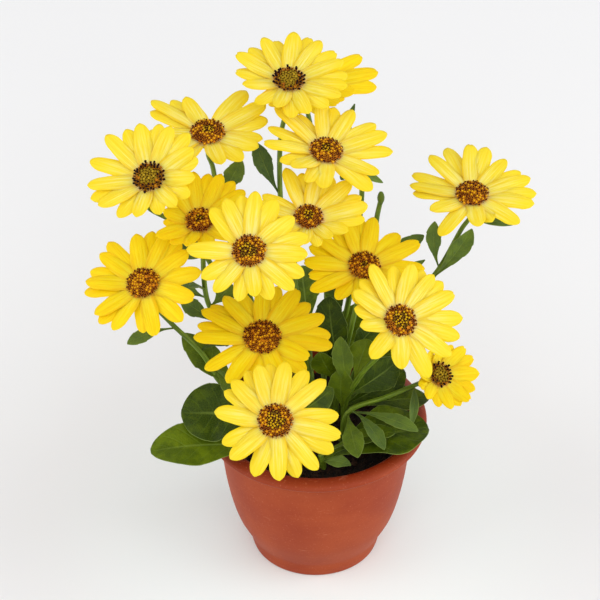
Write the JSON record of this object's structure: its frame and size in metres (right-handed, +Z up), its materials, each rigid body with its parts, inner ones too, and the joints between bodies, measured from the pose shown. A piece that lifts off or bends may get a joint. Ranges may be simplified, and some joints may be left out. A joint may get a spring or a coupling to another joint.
{
  "type": "potted osteospermum",
  "caption": "Bushy daisy plant with yellow blooms and dark-eyed discs on leafy stalks, growing in a round terracotta-coloured plastic pot with a rolled rim.",
  "frame": {"origin": "centre of the pot's base, on the surface it stands on", "axes": "+Z up along the pot's axis, -Y towards the side that most of the blooms face, +X to the right seen from that side"},
  "size_m": [0.2353, 0.2089, 0.2862],
  "materials": {
    "pot": "satin",
    "soil": "matte",
    "petal_lemon": "satin",
    "petal_gold": "satin",
    "disc_ripe": "matte",
    "disc_young": "matte",
    "green": "satin"
  },
  "bodies": {
    "root": {"pot": "pot", "soil": "soil", "rays_01": "petal_lemon", "disc_01": "disc_young", "stem_01": "green", "rays_02": "petal_gold", "disc_02": "disc_ripe", "stem_02": "green", "rays_03": "petal_lemon", "disc_03": "disc_ripe", "stem_03": "green", "rays_04": "petal_lemon", "disc_04": "disc_ripe", "stem_04": "green", "rays_05": "petal_lemon", "disc_05": "disc_young", "stem_05": "green", "rays_06": "petal_gold", "disc_06": "disc_ripe", "stem_06": "green", "rays_07": "petal_lemon", "disc_07": "disc_ripe", "stem_07": "green", "rays_08": "petal_lemon", "disc_08": "disc_ripe", "stem_08": "green", "rays_09": "petal_lemon", "disc_09": "disc_ripe", "stem_09": "green", "rays_10": "petal_gold", "disc_10": "disc_ripe", "stem_10": "green", "rays_11": "petal_gold", "disc_11": "disc_ripe", "stem_11": "green", "rays_12": "petal_gold", "disc_12": "disc_ripe", "stem_12": "green", "rays_13": "petal_lemon", "disc_13": "disc_ripe", "stem_13": "green", "rays_14": "petal_lemon", "disc_14": "disc_ripe", "stem_14": "green", "rays_15": "petal_gold", "disc_15": "disc_young", "stem_15": "green", "shoot_front": "green", "shoot_left": "green", "shoot_back": "green", "shoot_spent": "green"}
  },
  "joints": []
}
